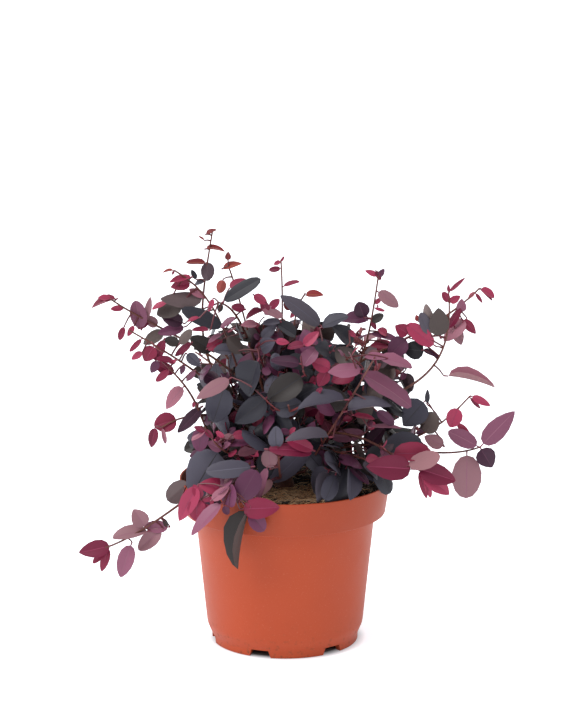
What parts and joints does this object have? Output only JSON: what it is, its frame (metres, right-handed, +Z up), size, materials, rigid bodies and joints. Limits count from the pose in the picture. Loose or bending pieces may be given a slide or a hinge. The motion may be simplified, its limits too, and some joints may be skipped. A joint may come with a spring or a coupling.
{
  "type": "potted fringe flower shrub",
  "caption": "Young purple-leaved fringe flower shrub with slender reddish stems and a loose, spreading crown, growing in a round terracotta-coloured nursery pot.",
  "frame": {"origin": "centre of the pot's foot, on the pot's axis, at the level it stands on", "axes": "+Z up, -Y towards the side seen first, +X to its right"},
  "size_m": [0.3791, 0.2853, 0.3843],
  "materials": {
    "terracotta_plastic": "satin",
    "potting_mix": "matte",
    "reddish_bark": "matte",
    "purple_leaf": "satin"
  },
  "bodies": {
    "root": {"pot": "terracotta_plastic", "potting_mix": "potting_mix", "stem_foot": "reddish_bark", "bough_back_1": "reddish_bark", "bough_back_2": "reddish_bark", "bough_back_3": "reddish_bark", "bough_back_4": "reddish_bark", "bough_back_5": "reddish_bark", "bough_front_hanging": "reddish_bark", "bough_front_left_trailing": "reddish_bark", "bough_front_right_low": "reddish_bark", "bough_front_right_rising": "reddish_bark", "bough_left_long": "reddish_bark", "bough_left_middle": "reddish_bark", "bough_left_second": "reddish_bark", "bough_right_arching": "reddish_bark", "bough_right_low": "reddish_bark", "bough_right_tall": "reddish_bark", "bough_top_left_red": "reddish_bark", "bough_top_spire": "reddish_bark", "foliage_back_1": "purple_leaf", "foliage_back_2": "purple_leaf", "foliage_back_3": "purple_leaf", "foliage_back_4": "purple_leaf", "foliage_back_5": "purple_leaf", "foliage_front_hanging": "purple_leaf", "foliage_front_left_small": "purple_leaf", "foliage_front_left_trailing": "purple_leaf", "foliage_front_pink": "purple_leaf", "foliage_front_right_low": "purple_leaf", "foliage_front_right_rising": "purple_leaf", "foliage_high_1": "purple_leaf", "foliage_high_2": "purple_leaf", "foliage_high_3": "purple_leaf", "foliage_left_arching": "purple_leaf", "foliage_left_long": "purple_leaf", "foliage_left_low": "purple_leaf", "foliage_left_middle": "purple_leaf", "foliage_left_second": "purple_leaf", "foliage_low_1": "purple_leaf", "foliage_low_2": "purple_leaf", "foliage_low_3": "purple_leaf", "foliage_low_4": "purple_leaf", "foliage_low_5": "purple_leaf", "foliage_low_6": "purple_leaf", "foliage_middle_1": "purple_leaf", "foliage_middle_2": "purple_leaf", "foliage_middle_3": "purple_leaf", "foliage_middle_4": "purple_leaf", "foliage_right_arching": "purple_leaf", "foliage_right_low": "purple_leaf", "foliage_right_middle": "purple_leaf", "foliage_right_tall": "purple_leaf", "foliage_top_centre": "purple_leaf", "foliage_top_left_red": "purple_leaf", "foliage_top_left_small": "purple_leaf", "foliage_top_right_spire": "purple_leaf", "foliage_top_small": "purple_leaf", "foliage_top_spire": "purple_leaf"}
  },
  "joints": []
}
